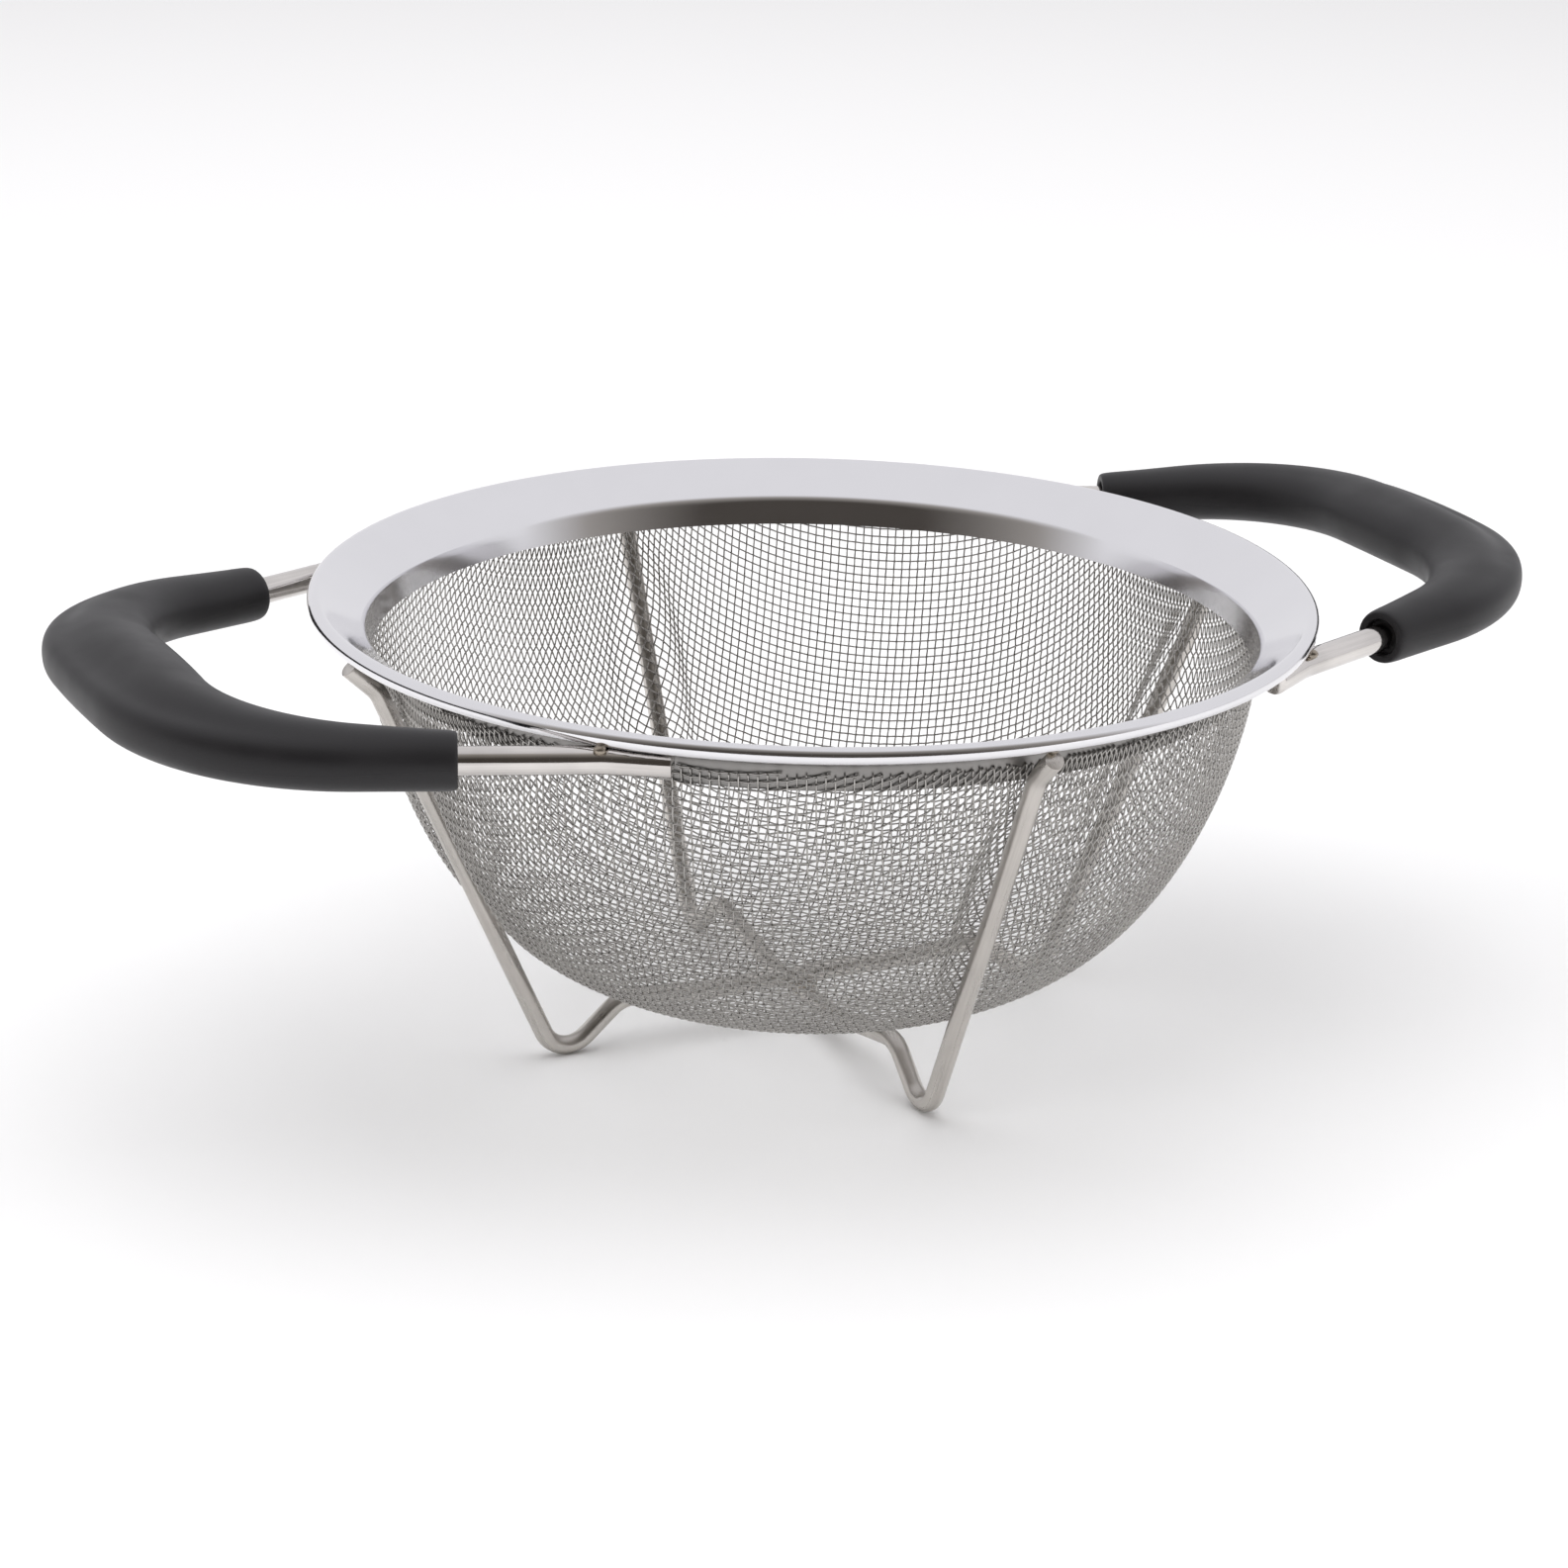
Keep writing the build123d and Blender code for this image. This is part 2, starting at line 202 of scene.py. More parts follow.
bpy.ops.object.select_all(action="DESELECT")
bpy.ops.mesh.primitive_circle_add(vertices=3, radius=0.001, location=flange_outer)
rim = bpy.context.object
rim.name = "rim_pressing"
rim.data.materials.append(None)
rim.data.materials.append(None)
bpy.ops.object.transform_apply(location=True, rotation=True, scale=True)
bpy.ops.object.mode_set(mode="EDIT")
bpy.ops.mesh.select_all(action="SELECT")
bpy.ops.mesh.merge(type="CENTER")
start_angle = math.pi / 2 + flange_slope
curl_steps = 22
curl_turn = math.radians(292)
spin_steps = 256
here = flange_outer.copy()
for step in range(1, curl_steps + 1):
    angle = start_angle - curl_turn * step / curl_steps
    there = bead_centre + bead_radius * Vector((math.cos(angle), 0, math.sin(angle)))
    bpy.ops.mesh.extrude_region_move(TRANSFORM_OT_translate={"value": there - here})
    here = there
bpy.ops.object.mode_set(mode="OBJECT")
first = min(rim.data.vertices, key=lambda vertex: (vertex.co - flange_outer).length)
for vertex in rim.data.vertices:
    vertex.select = vertex.index == first.index
bpy.ops.object.mode_set(mode="EDIT")
shoulder_in = corner + flange_way * shoulder_reach
shoulder_out = corner + collar_way * shoulder_reach
shoulder_centre = shoulder_in + shoulder_radius * Vector((math.sin(flange_slope), 0, -math.cos(flange_slope)))
stops = [flange_outer.lerp(shoulder_in, share / 5) for share in range(1, 6)]
shoulder_steps = 10
sweep_angle = math.pi / 2 - flange_slope - collar_taper
for step in range(1, shoulder_steps + 1):
    angle = math.pi / 2 + flange_slope + sweep_angle * step / shoulder_steps
    stops.append(shoulder_centre + shoulder_radius * Vector((math.cos(angle), 0, math.sin(angle))))
stops += [shoulder_out.lerp(collar_foot, share / 3) for share in range(1, 4)]
here = flange_outer.copy()
for there in stops:
    bpy.ops.mesh.extrude_region_move(TRANSFORM_OT_translate={"value": there - here})
    here = there
bpy.ops.mesh.select_all(action="SELECT")
bpy.ops.mesh.spin(steps=spin_steps, angle=2 * math.pi, center=(0, 0, 0), axis=(0, 0, 1))
bpy.ops.mesh.select_all(action="SELECT")
bpy.ops.mesh.remove_doubles(threshold=0.000005)
bpy.ops.mesh.normals_make_consistent(inside=False)
bpy.ops.object.mode_set(mode="OBJECT")
flange_face = max(rim.data.polygons, key=lambda face: (abs(face.center.x) < 0.113, face.center.z))
if flange_face.normal.z < 0:
    bpy.ops.object.mode_set(mode="EDIT")
    bpy.ops.mesh.flip_normals()
    bpy.ops.object.mode_set(mode="OBJECT")
wall = rim.modifiers.new("sheet", "SOLIDIFY")
wall.thickness = sheet
wall.offset = -1.0
# The shell that Solidify adds on the underside takes the second material, a darker steel that paints shade
# there.
wall.material_offset = 1
bpy.ops.object.modifier_apply(modifier="sheet")
bpy.ops.object.shade_smooth_by_angle(angle=math.radians(50))

rim_steel = steel("rim_steel_polished", (0.80, 0.795, 0.815), 0.11, (90, 90, 90), 0.000002, 0.01)
# Underside steel: rougher and unpolished, with a much darker colour that is painted shade for the faces under
# the flange and bead.
rim_underside_painted_shade_steel = steel("rim_steel_dull_back_painted_shade", (0.30, 0.29, 0.28), 0.38, (300, 300, 300), 0.00001, 0.1)
finish_piece(rim, rim_steel, "rim_steel", "rim_ring")
rim.data.materials[1] = rim_underside_painted_shade_steel

# Woven bowl. Plain-weave stainless wire cloth, twelve wires to the inch, pressed into a bowl, so the
# square cells shear into diamonds between the two weave directions. Its edge laps the collar outside.
wire = 0.00042
pitch_between = 0.002117
bowl_bottom = 0.013
bowl_side_power = 1.45
bowl_base_power = 3.8
mesh_lap = 0.0044
lap_lean = math.tan(collar_taper)
collar_wall = sheet / math.cos(collar_taper)
bowl_top_radius = collar_foot.x + collar_wall + wire
bowl_depth = collar_foot_z - bowl_bottom - wire
weave_turn = math.radians(-36.0)

# The four legs' straight runs, which press the cloth in where they pass it.
knee_in = 0.0095
knee_drop = 0.0127
leg_radius = 0.00225
leg_touch_gap = 0.0001
foot_bend = 0.007
foot_radius = 0.063
groove_radius = 0.014
groove_blend = 0.0012
groove_reach = 0.008
knee = Vector((rim_radius - knee_in, 0, rim_top - knee_drop))
foot_centre = Vector((foot_radius, 0, leg_radius + foot_bend))


def bend_touch(point, centre, radius, side):
    """Where a line from the point touches a bend in the XZ plane, on one side of it."""
    away = point - centre
    angle = math.atan2(away.z, away.x) + side * math.acos(radius / away.length)
    return centre + radius * Vector((math.cos(angle), 0, math.sin(angle)))


leg_touch = bend_touch(knee, foot_centre, foot_bend, -1)
leg_way = (leg_touch - knee).normalized()
leg_outward = Vector((-leg_way.z, 0, leg_way.x))
groove_start = knee + leg_outward * (groove_radius - leg_radius - leg_touch_gap)


def press_in(points):
    """Pushes points of the cloth inwards where the four legs press a shallow groove into it."""
    moved = points.copy()
    for quarter in range(4):
        c, s = math.cos(quarter * math.pi / 2), math.sin(quarter * math.pi / 2)
        start = np.array([groove_start.x * c, groove_start.x * s, groove_start.z])
        way = np.array([leg_way.x * c, leg_way.x * s, leg_way.z])
        from_axis = moved - start
        from_axis = from_axis - (from_axis @ way)[:, None] * way
        distance = np.linalg.norm(from_axis, axis=1)
        keep_out = groove_radius + wire
        over = distance - keep_out
        kept = keep_out + (over + np.sqrt(over**2 + groove_blend**2)) / 2
        near = distance < keep_out + groove_reach
        moved[near] += from_axis[near] * ((kept[near] - distance[near]) / distance[near])[:, None]
    return moved


turn = np.linspace(0, math.pi / 2, 3000)
side_radius = np.cos(turn) ** (2 / bowl_base_power) * bowl_top_radius
side_height = collar_foot_z - np.sin(turn) ** (2 / bowl_side_power) * bowl_depth
lap_rise = np.linspace(0.02, 0.0001, 60)
profile_radius = np.concatenate([bowl_top_radius + lap_rise * lap_lean, side_radius])[::-1]
profile_height = np.concatenate([collar_foot_z + lap_rise, side_height])[::-1]
steps_along = np.hypot(np.diff(profile_radius), np.diff(profile_height))
profile_length = np.concatenate([[0], np.cumsum(steps_along)])
even = np.linspace(0, profile_length[-1], 4000)
even_radius = np.interp(even, profile_length, profile_radius)
even_height = np.interp(even, profile_length, profile_height)
even_step = even[1]
slope_radius = np.gradient(even_radius, even_step)
slope_height = np.gradient(even_height, even_step)
lap_top = collar_foot_z + mesh_lap
lap_length = float(np.interp(lap_top, even_height, even))


def on_bowl(length, angle):
    """Point and its two tangents on the bowl, from the length down the side and the angle about Z."""
    where = min(max(length / even_step, 0.0), len(even) - 1.001)
    index = int(where)
    part = where - index
    radius = even_radius[index] * (1 - part) + even_radius[index + 1] * part
    height = even_height[index] * (1 - part) + even_height[index + 1] * part
    across = slope_radius[index]
    down = slope_height[index]
    c, s = math.cos(angle), math.sin(angle)
    return ((radius * c, radius * s, height), (across * c, across * s, down), (-radius * s, radius * c, 0.0))


def next_crossing(before, beside, length, angle):
    """Where two wires cross, one cell on from the crossing before and the crossing beside."""
    for _ in range(6):
        point, along, around = on_bowl(length, angle)
        gap_a = [point[k] - before[k] for k in range(3)]
        gap_b = [point[k] - beside[k] for k in range(3)]
        miss_a = sum(g * g for g in gap_a) - pitch_between**2
        miss_b = sum(g * g for g in gap_b) - pitch_between**2
        a1 = 2 * sum(g * t for g, t in zip(gap_a, along))
        a2 = 2 * sum(g * t for g, t in zip(gap_a, around))
        b1 = 2 * sum(g * t for g, t in zip(gap_b, along))
        b2 = 2 * sum(g * t for g, t in zip(gap_b, around))
        scale = a1 * b2 - a2 * b1
        if abs(scale) < 1e-14:
            break
        length -= (miss_a * b2 - a2 * miss_b) / scale
        angle -= (a1 * miss_b - b1 * miss_a) / scale
    return on_bowl(length, angle)[0], length, angle


reach = int(lap_length / pitch_between) + 3
crossings = {}
for i in range(reach):
    crossings[i, 0] = (on_bowl(i * pitch_between, 0.0)[0], i * pitch_between, 0.0)
    crossings[0, i] = (on_bowl(i * pitch_between, math.pi / 2)[0], i * pitch_between, math.pi / 2)
for i in range(1, reach):
    for j in range(1, reach):
        before = crossings.get((i - 1, j))
        beside = crossings.get((i, j - 1))
        if before is None or beside is None:
            continue
        if min(before[1], beside[1]) > lap_length:
            continue
        inner = crossings[i - 1, j - 1]
        guess = np.array(before[0]) + np.array(beside[0]) - np.array(inner[0])
        angle = math.atan2(guess[1], guess[0])
        length = max(before[1], beside[1]) + pitch_between * 0.4
        crossings[i, j] = next_crossing(before[0], beside[0], length, angle)


def crossing_at(i, j):
    """A crossing in any quarter of the cloth, mirrored from the first quarter."""
    found = crossings.get((abs(i), abs(j)))
    if found is None:
        return None
    x, y, z = found[0]
    return (math.copysign(x, i) if i else 0.0, math.copysign(y, j) if j else 0.0, z), found[1]


def thread_line(fixed, lengthwise):
    """Centre line of one wire as points and outward directions, waving over and under."""
    run = []
    for k in range(-reach, reach + 1):
        i, j = (k, fixed) if lengthwise else (fixed, k)
        found = crossing_at(i, j)
        if found is not None:
            run.append((found[0], found[1], (i + j) % 2))
    points, lifts, lengths = [], [], []
    for index, (point, length, odd) in enumerate(run):
        if index:
            points.append([(a + b) / 2 for a, b in zip(point, run[index - 1][0])])
            lengths.append((length + run[index - 1][1]) / 2)
            lifts.append(0.0)
        points.append(point)
        lengths.append(length)
        lifts.append(1.0 if (odd == 1) == lengthwise else -1.0)
    points = np.array(points)
    lengths = np.array(lengths)
    lifts = np.array(lifts)
    inside = lengths <= lap_length
    if inside.sum() < 3:
        return None
    keep = np.flatnonzero(inside)
    points = points[keep[0] : keep[-1] + 1]
    lengths = lengths[keep[0] : keep[-1] + 1]
    lifts = lifts[keep[0] : keep[-1] + 1]
    around = np.hypot(points[:, 0], points[:, 1])
    around[around < 1e-9] = 1e-9
    across = np.interp(lengths, even, slope_radius)
    down = np.interp(lengths, even, slope_height)
    outward = np.stack([down * points[:, 0] / around, down * points[:, 1] / around, -across], axis=1)
    c, s = math.cos(weave_turn), math.sin(weave_turn)
    about = np.array([[c, s, 0], [-s, c, 0], [0, 0, 1]])
    points, outward = press_in(points @ about), outward @ about
    return points + outward * (lifts * wire / 2)[:, None], outward


def wire_cloth(name, lengthwise, fixed_range):
    """Joins the wires of one direction into one mesh of six-sided tubes with closed ends."""
    sides = 6
    corners, faces = [], []
    count = 0
    for fixed in fixed_range:
        line = thread_line(fixed, lengthwise)
        if line is None:
            continue
        points, outward = line
        along = np.gradient(points, axis=0)
        along /= np.linalg.norm(along, axis=1)[:, None]
        beside = np.cross(along, outward)
        beside /= np.linalg.norm(beside, axis=1)[:, None]
        upright = np.cross(beside, along)
        spin = np.arange(sides) * 2 * math.pi / sides
        ring = upright[:, None, :] * np.cos(spin)[None, :, None]
        ring = ring + beside[:, None, :] * np.sin(spin)[None, :, None]
        corners.append((points[:, None, :] + ring * wire / 2).reshape(-1, 3))
        rows = np.arange(len(points) - 1)[:, None] * sides + count
        here = np.arange(sides)[None, :]
        there = (here + 1) % sides
        quads = np.stack([rows + here, rows + there, rows + sides + there, rows + sides + here], axis=2)
        faces.extend(quads.reshape(-1, 4).tolist())
        faces.append([count + k for k in reversed(range(sides))])
        last = count + (len(points) - 1) * sides
        faces.append([last + k for k in range(sides)])
        count += len(points) * sides
    cloth = bpy.data.meshes.new(name)
    cloth.from_pydata(np.concatenate(corners).tolist(), [], faces)
    cloth.validate()
    piece = bpy.data.objects.new(name, cloth)
    bpy.context.scene.collection.objects.link(piece)
    cloth.shade_smooth()
    return piece


mesh_wire_steel = steel("mesh_wire_steel", (0.47, 0.455, 0.435), 0.27, (900, 900, 900), 0.000004, 0.12)
groups = 4
edges = [round(-reach + group * (2 * reach + 1) / groups) for group in range(groups + 1)]
for lengthwise, family in ((True, "warp"), (False, "weft")):
    for group in range(groups):
        piece = wire_cloth(f"{family}_wires_{group + 1}", lengthwise, range(edges[group], edges[group + 1]))
        finish_piece(piece, mesh_wire_steel, "mesh_steel", "sieve_bowl")

# Leg wires. Two bent stainless wires that cross under the bowl, each making two legs. Their sheared
# ends are welded under the rolled edge; the feet are round bends.
leg_end_inset = 0.0026
leg_end_radius = rim_radius - leg_end_inset
leg_end_round = 0.0004
leg_knee_bend = 0.008
rise_radius = 0.049
rise_bend = 0.009
flat_bend = 0.030
long_flat_radius = 0.030
cross_flat_radius = 0.016
end_reach = bead_radius + leg_radius + leg_touch_gap
leg_end_z = bead_centre.z - math.sqrt(end_reach**2 - (bead_centre.x - leg_end_radius) ** 2)
rise_share = (rise_radius / (collar_foot.x + collar_wall + 2 * wire)) ** bowl_base_power
rise_mesh_z = collar_foot_z - (1 - rise_share) ** (1 / bowl_side_power) * (collar_foot_z - bowl_bottom)
rise = Vector((rise_radius, 0, rise_mesh_z - 1.65 * leg_radius))
rise_touch = bend_touch(rise, foot_centre, foot_bend, 1)


def rounded_route(corners, radii, steps=14):
    """Points along straight runs joined by arcs that touch both runs."""
    route = [corners[0]]
    for before, corner, after, radius in zip(corners, corners[1:], corners[2:], radii):
        way_in = (corner - before).normalized()
        way_out = (after - corner).normalized()
        bend = way_in.angle(way_out)
        centre = corner + (way_out - way_in).normalized() * (radius / math.cos(bend / 2))
        from_centre = corner - way_in * radius * math.tan(bend / 2) - centre
        axis = way_in.cross(way_out).normalized()
        for step in range(steps + 1):
            route.append(centre + Matrix.Rotation(bend * step / steps, 3, axis) @ from_centre)
    route.append(corners[-1])
    return route


def bent_wire(name, route, radius, turn_about, end_round):
    """A smooth round wire along a route, turned about Z, with its two cut ends slightly rounded."""
    line = bpy.data.curves.new(name, "CURVE")
    line.dimensions = "3D"
    line.bevel_depth = radius
    line.bevel_resolution = 8
    line.use_fill_caps = True
    spline = line.splines.new("POLY")
    spline.points.add(len(route) - 1)
    for spot, point in zip(spline.points, route):
        spot.co = (*(Matrix.Rotation(turn_about, 3, "Z") @ point), 1)
    tube = bpy.data.objects.new(name, line)
    bpy.context.scene.collection.objects.link(tube)
    bpy.ops.object.select_all(action="DESELECT")
    tube.select_set(True)
    bpy.context.view_layer.objects.active = tube
    bpy.ops.object.convert(target="MESH")
    bpy.ops.object.mode_set(mode="EDIT")
    bpy.ops.mesh.select_all(action="SELECT")
    bpy.ops.mesh.remove_doubles(threshold=0.000002)
    bpy.ops.mesh.normals_make_consistent(inside=False)
    bpy.ops.object.mode_set(mode="OBJECT")
    rounding = tube.modifiers.new("cut_edge", "BEVEL")
    rounding.width = end_round
    rounding.segments = 3
    rounding.limit_method = "ANGLE"
    rounding.angle_limit = math.radians(60)
    bpy.ops.object.modifier_apply(modifier="cut_edge")
    bpy.ops.object.shade_smooth_by_angle(angle=math.radians(40))
    tube = bpy.context.object
    tube.data.materials.append(None)
    tube.data.materials.append(cut_end_steel)
    for face in tube.data.polygons:
        face.material_index = 1 if len(face.vertices) > 8 else 0
    return tube


def crossing_point(a, way_a, b, way_b):
    """Where two lines in the XZ plane cross."""
    cross = way_a.x * way_b.z - way_a.z * way_b.x
    return a + way_a * (((b.x - a.x) * way_b.z - (b.z - a.z) * way_b.x) / cross)


foot_corner = crossing_point(knee, leg_touch - knee, rise, rise_touch - rise)
long_flat_z = bowl_bottom - leg_radius - leg_touch_gap
cross_flat_z = long_flat_z - 2 * leg_radius - leg_touch_gap
cut_end_steel = steel("cut_end_steel", (0.20, 0.17, 0.14), 0.5, (900, 900, 900), 0.0002, 0.25)
leg_steel_long = steel("leg_steel_satin_long", (0.62, 0.59, 0.555), 0.30, (40, 2500, 40), 0.00001, 0.10)
leg_steel_cross = steel("leg_steel_satin_cross", (0.62, 0.59, 0.555), 0.30, (2500, 40, 40), 0.00001, 0.10)
for name, node, flat_radius, flat_z, turn_about, metal in (
    ("bent_leg_wire_long", "leg_wire_long", long_flat_radius, long_flat_z, 0.0, leg_steel_long),
    ("bent_leg_wire_cross", "leg_wire_cross", cross_flat_radius, cross_flat_z, math.pi / 2, leg_steel_cross),
):
    half = [Vector((leg_end_radius, 0, leg_end_z)), knee, foot_corner, rise, Vector((flat_radius, 0, flat_z))]
    bends = [leg_knee_bend, foot_bend, rise_bend, flat_bend]
    corners = half + [Vector((-point.x, 0, point.z)) for point in reversed(half)]
    leg = bent_wire(name, rounded_route(corners, bends + bends[::-1]), leg_radius, turn_about, leg_end_round)
    finish_piece(leg, metal, "leg_steel", node)

# Handle wires. Thick polished stainless wire with drawing streaks along it, bent to an open loop, with
# both ends tucked under the flange and welded to the rolled edge.
handle_radius = 0.0032
handle_reach = 0.0463
handle_half_width = 0.0475
elbow_inset = 0.0027
elbow_bend = 0.020
tail_length = 0.0148
handle_end_round = 0.0005
handle_z = rim_top - 2 * bead_radius - handle_radius - leg_touch_gap
elbow_radius = rim_radius - elbow_inset
elbow_spread = math.radians(41.4)
elbow = Vector((elbow_radius * math.cos(elbow_spread), elbow_radius * math.sin(elbow_spread), handle_z))
tail_turn = math.radians(32.6)
tail_end = elbow + tail_length * Vector((-math.cos(tail_turn), math.sin(tail_turn), 0))
loop_corner = Vector((rim_radius + handle_reach, handle_half_width, handle_z))
loop_bend = 0.045
half = [tail_end, elbow, loop_corner]
corners = half + [Vector((point.x, -point.y, point.z)) for point in reversed(half)]
handle_route = rounded_route(corners, [elbow_bend, loop_bend, loop_bend, elbow_bend], 24)
handle_steel = steel("handle_steel_polished", (0.72, 0.69, 0.665), 0.10, (22, 22, 1900), 0.00003, 0.14)
for side, turn_about in (("right", 0.0), ("left", math.pi)):
    loop = bent_wire(f"handle_loop_{side}", handle_route, handle_radius, turn_about, handle_end_round)
    finish_piece(loop, handle_steel, "handle_steel", f"handle_wire_{side}")

# Welds. Small nuggets of weld metal, flattened and uneven, with a straw heat tint: one where each leg
# end meets the rolled edge, one where each handle wire crosses it, and one where the legs cross.
weld_steel = steel("weld_steel_tinted", (0.40, 0.35, 0.29), 0.32, (700, 700, 700), 0.00006, 0.2)
leg_weld_radius = 0.0019
handle_weld_radius = 0.0017
weld_flatness = (0.93, 0.93, 0.72)
weld_unevenness = 0.06


def weld_lumps(name, node, places, radius):
    """Flattened, slightly lumpy beads joined as one piece."""
    bpy.ops.object.select_all(action="DESELECT")
    lumps = []
    for place in places:
        bpy.ops.mesh.primitive_ico_sphere_add(subdivisions=4, radius=radius, location=place)
        lump = bpy.context.object
        lump.scale = weld_flatness
        bpy.ops.object.transform_apply(location=True, rotation=True, scale=True)
        for vertex in lump.data.vertices:
            away = vertex.co - Vector(place)
            shrink = weld_unevenness * (noise.noise(vertex.co * 900) - 1)
            vertex.co = Vector(place) + away * (1 + shrink)
        lumps.append(lump)
    for lump in lumps:
        lump.select_set(True)
    bpy.context.view_layer.objects.active = lumps[0]
    bpy.ops.object.join()
    joined = bpy.context.object
    joined.name = name
    bpy.ops.object.origin_set(type="ORIGIN_CURSOR")
    bpy.ops.object.shade_smooth()
    finish_piece(joined, weld_steel, "weld_steel", node)


low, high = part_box("leg_welds")
out, up = high[0] - leg_weld_radius, (low[2] + high[2]) / 2
places = [(out, 0, up), (0, out, up), (-out, 0, up), (0, -out, up)]
weld_lumps("leg_weld_lumps", "leg_welds", places, leg_weld_radius)
low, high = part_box("handle_welds")
along, aside, up = high[0] - handle_weld_radius, high[1] - handle_weld_radius, (low[2] + high[2]) / 2
places = [(along, aside, up), (-along, aside, up), (-along, -aside, up), (along, -aside, up)]
weld_lumps("handle_weld_lumps", "handle_welds", places, handle_weld_radius)
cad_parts["crossing_weld"].data.materials.clear()
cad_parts["crossing_weld"].data.materials.append(weld_steel)

# Grips. Soft charcoal rubber moulded onto the handle wires, thick in the palm, with a soft crease
# along the top, a fine mould line round the middle and a ring-shaped recess in each end.
grip_height = handle_z
arm_way = (loop_corner - elbow).normalized()
grip_start_inset = 0.0028
grip_start_x = rim_radius - grip_start_inset
grip_start = elbow + arm_way * ((grip_start_x - elbow.x) / arm_way.x)
half = [grip_start, loop_corner]
corners = half + [Vector((point.x, -point.y, point.z)) for point in reversed(half)]
grip_route = rounded_route(corners, [loop_bend, loop_bend], 32)
grip_length = sum((b - a).length for a, b in zip(grip_route, grip_route[1:]))

grip_end_half = 0.0066
palm_half_width = 0.0137
palm_half_height = 0.0081
palm_outward = 0.0028
palm_upward = 0.0040
swell_power = 1.2
round_cuts = 32
cuts_along = 35


def grip_rubber():
    """Charcoal soft-touch rubber: fine pebble, faint handling marks, a thin mould line at mid height."""
    rubber = bpy.data.materials.new("grip_rubber_charcoal")
    rubber.use_nodes = True
    tree = rubber.node_tree
    shader = tree.nodes["Principled BSDF"]
    shader.inputs["Specular IOR Level"].default_value = 0.38
    shader.inputs["Sheen Weight"].default_value = 0.03
    shader.inputs["Sheen Roughness"].default_value = 0.5
    place = tree.nodes.new("ShaderNodeTexCoord")
    marks = tree.nodes.new("ShaderNodeTexNoise")
    marks.inputs["Scale"].default_value = 55.0
    marks.inputs["Detail"].default_value = 6.0
    pebble = tree.nodes.new("ShaderNodeTexNoise")
    pebble.inputs["Scale"].default_value = 2600.0
    pebble.inputs["Detail"].default_value = 2.0
    for texture in (marks, pebble):
        tree.links.new(place.outputs["Object"], texture.inputs["Vector"])
    shade = tree.nodes.new("ShaderNodeValToRGB")
    shade.color_ramp.elements[0].position = 0.35
    shade.color_ramp.elements[0].color = (0.0105, 0.0098, 0.0112, 1)
    shade.color_ramp.elements[1].position = 0.7
    shade.color_ramp.elements[1].color = (0.0145, 0.0135, 0.0150, 1)
    tree.links.new(marks.outputs["Fac"], shade.inputs["Fac"])
    tree.links.new(shade.outputs["Color"], shader.inputs["Base Color"])
    rough = tree.nodes.new("ShaderNodeMapRange")
    rough.inputs["From Min"].default_value = 0.3
    rough.inputs["From Max"].default_value = 0.7
    rough.inputs["To Min"].default_value = 0.42
    rough.inputs["To Max"].default_value = 0.56
    tree.links.new(marks.outputs["Fac"], rough.inputs["Value"])
    tree.links.new(rough.outputs["Result"], shader.inputs["Roughness"])
    split = tree.nodes.new("ShaderNodeSeparateXYZ")
    tree.links.new(place.outputs["Object"], split.inputs[0])
    near_line = tree.nodes.new("ShaderNodeMath")
    near_line.operation = "COMPARE"
    near_line.inputs[1].default_value = grip_height
    near_line.inputs[2].default_value = 0.00012
    tree.links.new(split.outputs["Z"], near_line.inputs[0])
    raise_line = tree.nodes.new("ShaderNodeMath")
    raise_line.operation = "MULTIPLY_ADD"
    raise_line.inputs[1].default_value = 4.0
    tree.links.new(near_line.outputs[0], raise_line.inputs[0])
    tree.links.new(pebble.outputs["Fac"], raise_line.inputs[2])
    bump = tree.nodes.new("ShaderNodeBump")
    bump.inputs["Distance"].default_value = 0.00003
    tree.links.new(raise_line.outputs[0], bump.inputs["Height"])
    tree.links.new(bump.outputs["Normal"], shader.inputs["Normal"])
    return rubber


def palm_shape(vertex):
    """Moves one vertex of the straight, round grip to its place on the swollen palm section."""
    share = min(max(vertex.co.x / grip_length, 0.0), 1.0)
    swell = math.sin(math.pi * share) ** swell_power
    angle = math.atan2(vertex.co.z, vertex.co.y)
    width = grip_end_half + (palm_half_width - grip_end_half) * swell
    height = grip_end_half + (palm_half_height - grip_end_half) * swell
    square = 2 / (2 + 0.5 * swell)
    c, s = math.cos(angle), math.sin(angle)
    y = width * math.copysign(abs(c) ** square, c)
    z = height * math.copysign(abs(s) ** square, s)
    ridge = math.exp(-(((math.degrees(angle) - 92) / 14) ** 2))
    hollow = math.exp(-(((math.degrees(angle) - 58) / 20) ** 2))
    z += swell**2 * (0.0008 * ridge - 0.0019 * hollow)
    y -= swell**2 * 0.0008 * hollow
    vertex.co.y = y + palm_outward * swell
    vertex.co.z = z + palm_upward * swell


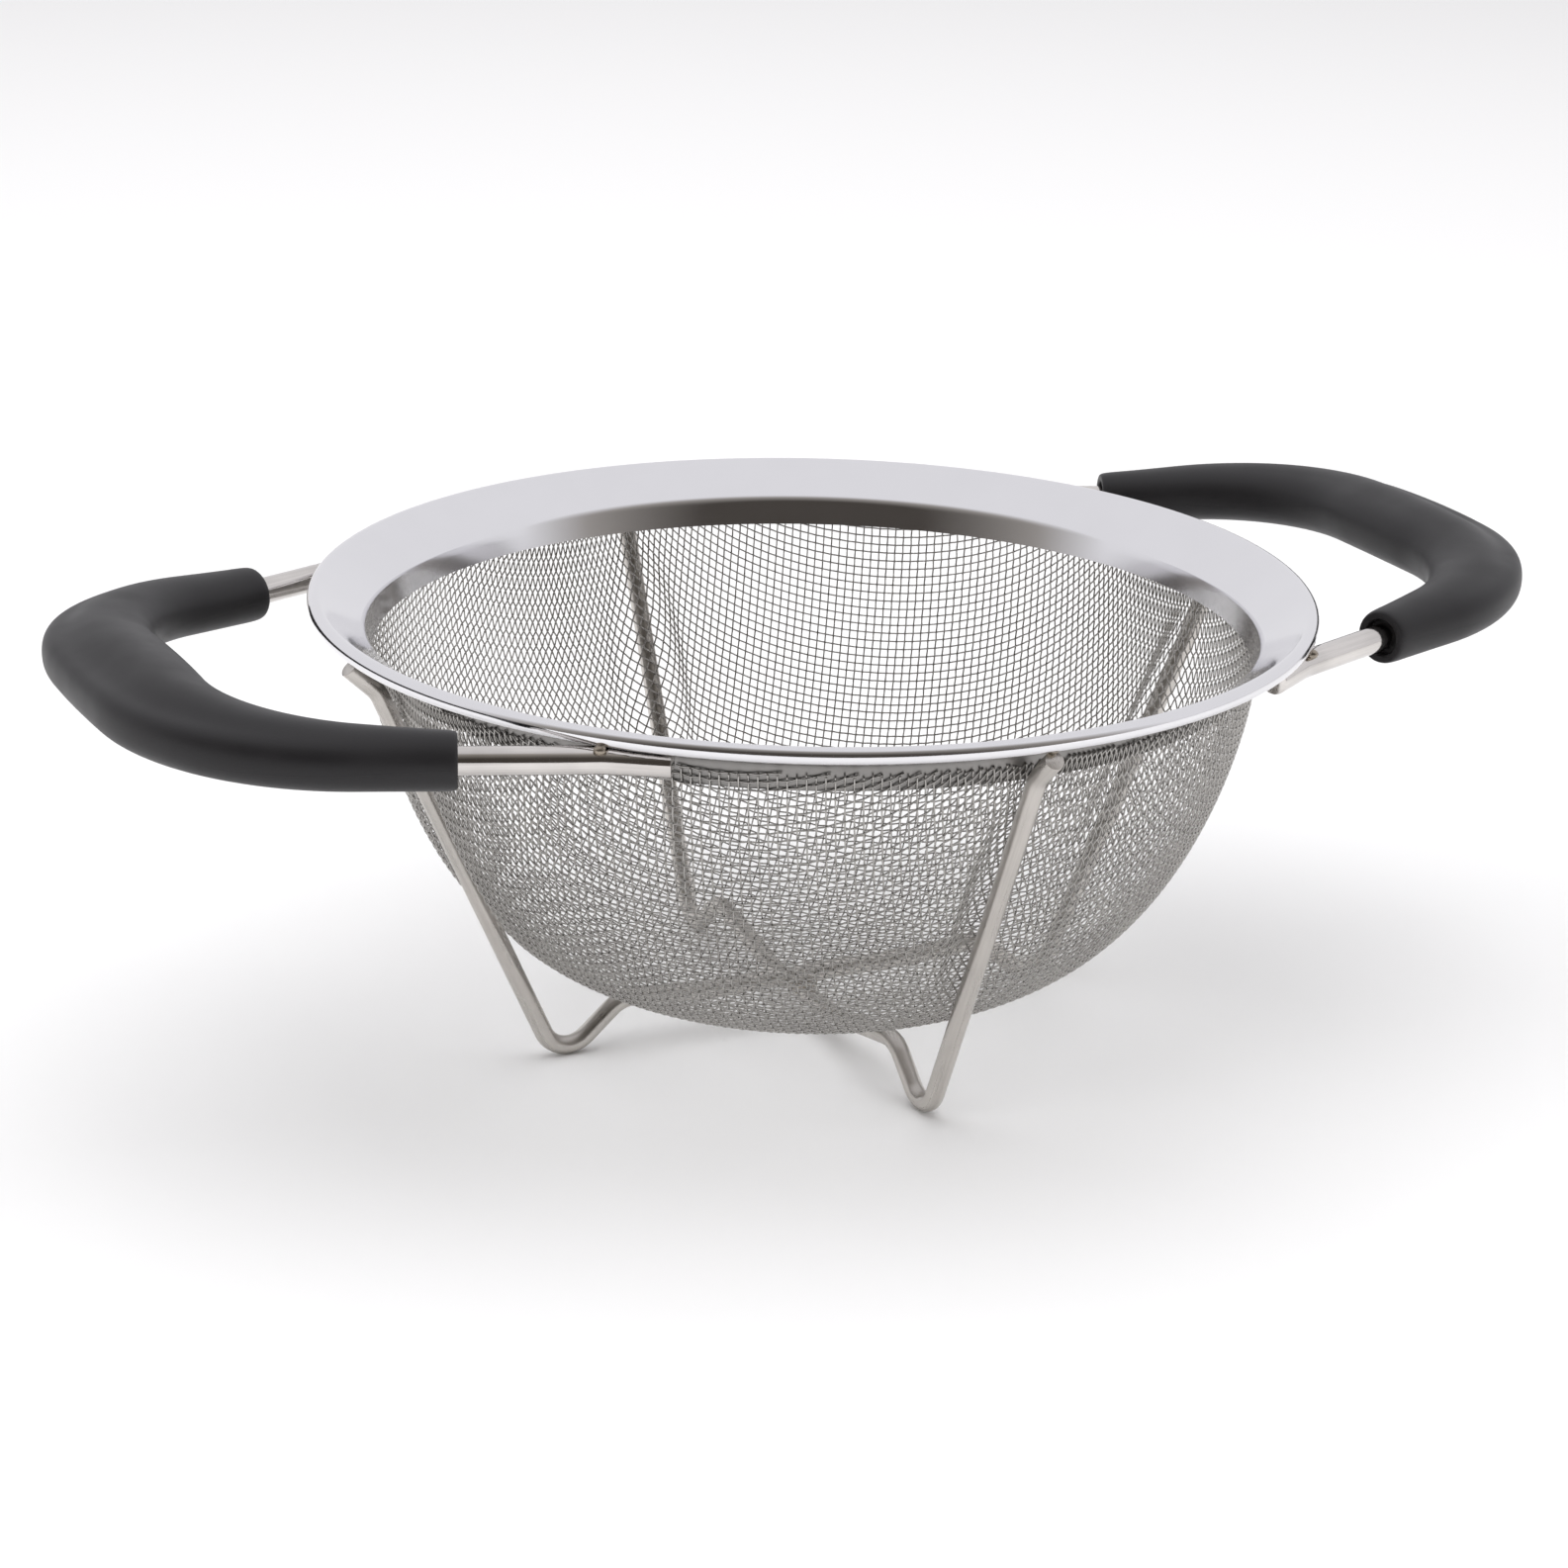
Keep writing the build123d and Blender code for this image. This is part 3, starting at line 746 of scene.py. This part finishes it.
rubber = grip_rubber()
for side, turn_about in (("right", 0.0), ("left", math.pi)):
    bpy.ops.object.select_all(action="DESELECT")
    bpy.ops.mesh.primitive_cylinder_add(
        vertices=round_cuts, radius=grip_end_half, depth=grip_length, rotation=(0, math.pi / 2, 0),
        location=(grip_length / 2, 0, 0)
    )
    grip = bpy.context.object
    grip.name = f"moulded_grip_{side}"
    bpy.ops.object.transform_apply(location=True, rotation=True, scale=True)
    bpy.ops.object.mode_set(mode="EDIT")
    bpy.ops.mesh.select_mode(type="EDGE")
    bpy.ops.object.mode_set(mode="OBJECT")
    for face in grip.data.polygons:
        face.select = False
    for edge in grip.data.edges:
        a, b = (grip.data.vertices[index].co for index in edge.vertices)
        edge.select = abs(a.x - b.x) > grip_length / 2
    bpy.ops.object.mode_set(mode="EDIT")
    bpy.ops.mesh.subdivide(number_cuts=cuts_along)
    bpy.ops.object.mode_set(mode="OBJECT")
    for vertex in grip.data.vertices:
        palm_shape(vertex)
    bpy.ops.object.mode_set(mode="EDIT")
    bpy.ops.mesh.select_mode(type="FACE")
    bpy.ops.mesh.select_all(action="DESELECT")
    bpy.ops.object.mode_set(mode="OBJECT")
    for face in grip.data.polygons:
        face.select = abs(face.normal.x) > 0.9
    bpy.ops.object.mode_set(mode="EDIT")
    bpy.ops.mesh.inset(thickness=0.0009, use_individual=True)
    bpy.ops.mesh.inset(thickness=0.0011, use_individual=True)
    bpy.ops.mesh.inset(thickness=0.0002, depth=-0.0004, use_individual=True)
    bpy.ops.mesh.inset(thickness=0.0001, depth=-0.0016, use_individual=True)
    bpy.ops.mesh.inset(thickness=0.0004, use_individual=True)
    bpy.ops.object.mode_set(mode="OBJECT")
    soften = grip.modifiers.new("soften", "SUBSURF")
    soften.levels = 2
    soften.render_levels = 2
    bpy.ops.object.modifier_apply(modifier="soften")
    guide = bpy.data.curves.new("grip_guide", "CURVE")
    guide.dimensions = "2D"
    spline = guide.splines.new("POLY")
    spline.points.add(len(grip_route) - 1)
    for spot, point in zip(spline.points, grip_route):
        spot.co = (point.x, point.y, 0, 1)
    guide_piece = bpy.data.objects.new("grip_guide", guide)
    bpy.context.scene.collection.objects.link(guide_piece)
    bend = grip.modifiers.new("bend", "CURVE")
    bend.object = guide_piece
    bend.deform_axis = "POS_X"
    bpy.context.view_layer.objects.active = grip
    bpy.ops.object.modifier_apply(modifier="bend")
    bpy.data.objects.remove(guide_piece)
    grip.data.transform(Matrix.Rotation(turn_about, 4, "Z") @ Matrix.Translation((0, 0, grip_height)))
    for face in grip.data.polygons:
        face.use_smooth = True
    finish_piece(grip, rubber, "grip_rubber", f"handle_grip_{side}")
